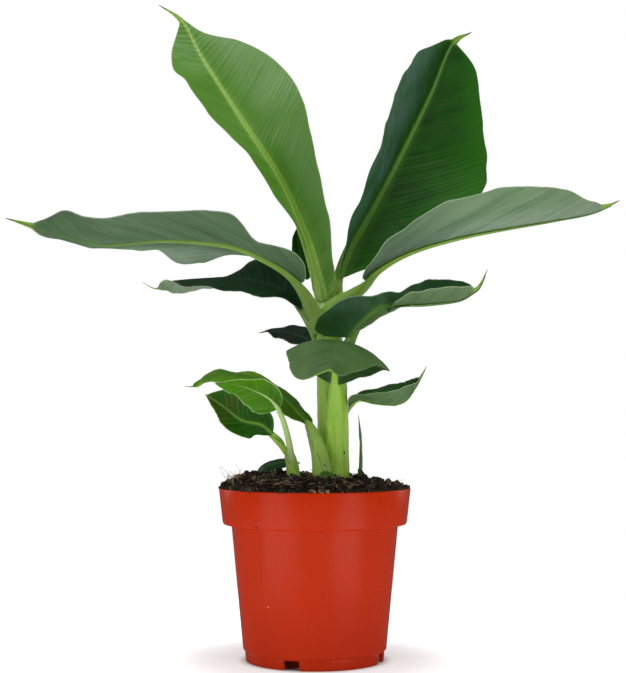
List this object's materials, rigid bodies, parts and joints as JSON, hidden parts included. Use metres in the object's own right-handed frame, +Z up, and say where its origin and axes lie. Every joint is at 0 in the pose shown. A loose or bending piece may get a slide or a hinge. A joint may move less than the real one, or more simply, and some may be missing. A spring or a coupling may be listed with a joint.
{
  "type": "potted banana plant",
  "caption": "Young banana plant in a round plastic nursery pot: a short upright stem with long arching leaves, low sucker shoots and a heap of dark compost.",
  "frame": {"origin": "middle of the pot's flat underside, on the ground plane", "axes": "+Z up along the stem, -Y towards the side with the small low front leaf, +X to the plant's right seen from there"},
  "size_m": [0.3706, 0.1672, 0.4288],
  "materials": {
    "pot_plastic": "moulded terracotta-orange plastic, softly glossy with small scuffs",
    "compost": "dark crumbly potting compost with straw-coloured fibres, dry and matt",
    "stem": "smooth yellow-green sheaths and channelled leaf stalks with fine lengthwise lines",
    "light_leaf": "young light green blade, satin, with fine parallel side veins",
    "dark_leaf": "dark green upper face with a soft bluish sheen",
    "pale_leaf": "grey-green waxy underside with fine parallel side veins, matt"
  },
  "bodies": {
    "root": {"pot": "pot_plastic", "soil": "compost", "pseudostem": "stem", "right_sucker_stem": "stem", "left_sucker_stem": "stem", "spike_shoot": "stem", "upright_left_leaf_petiole": "stem", "upright_left_leaf": "light_leaf", "upright_right_leaf_petiole": "stem", "upright_right_leaf": "dark_leaf", "right_arching_leaf_petiole": "stem", "right_arching_leaf": "pale_leaf", "left_arching_leaf_petiole": "stem", "left_arching_leaf": "pale_leaf", "lower_left_leaf_petiole": "stem", "lower_left_leaf": "dark_leaf", "twisted_right_leaf_petiole": "stem", "twisted_right_leaf": "dark_leaf", "back_left_leaf_petiole": "stem", "back_left_leaf": "dark_leaf", "front_leaf_petiole": "stem", "front_leaf": "pale_leaf", "lower_right_leaf_petiole": "stem", "lower_right_leaf": "pale_leaf", "bright_sucker_leaf_petiole": "stem", "bright_sucker_leaf": "light_leaf", "front_sucker_leaf_petiole": "stem", "front_sucker_leaf": "light_leaf", "round_sucker_leaf_petiole": "stem", "round_sucker_leaf": "dark_leaf", "soil_leaf": "dark_leaf"}
  },
  "joints": []
}
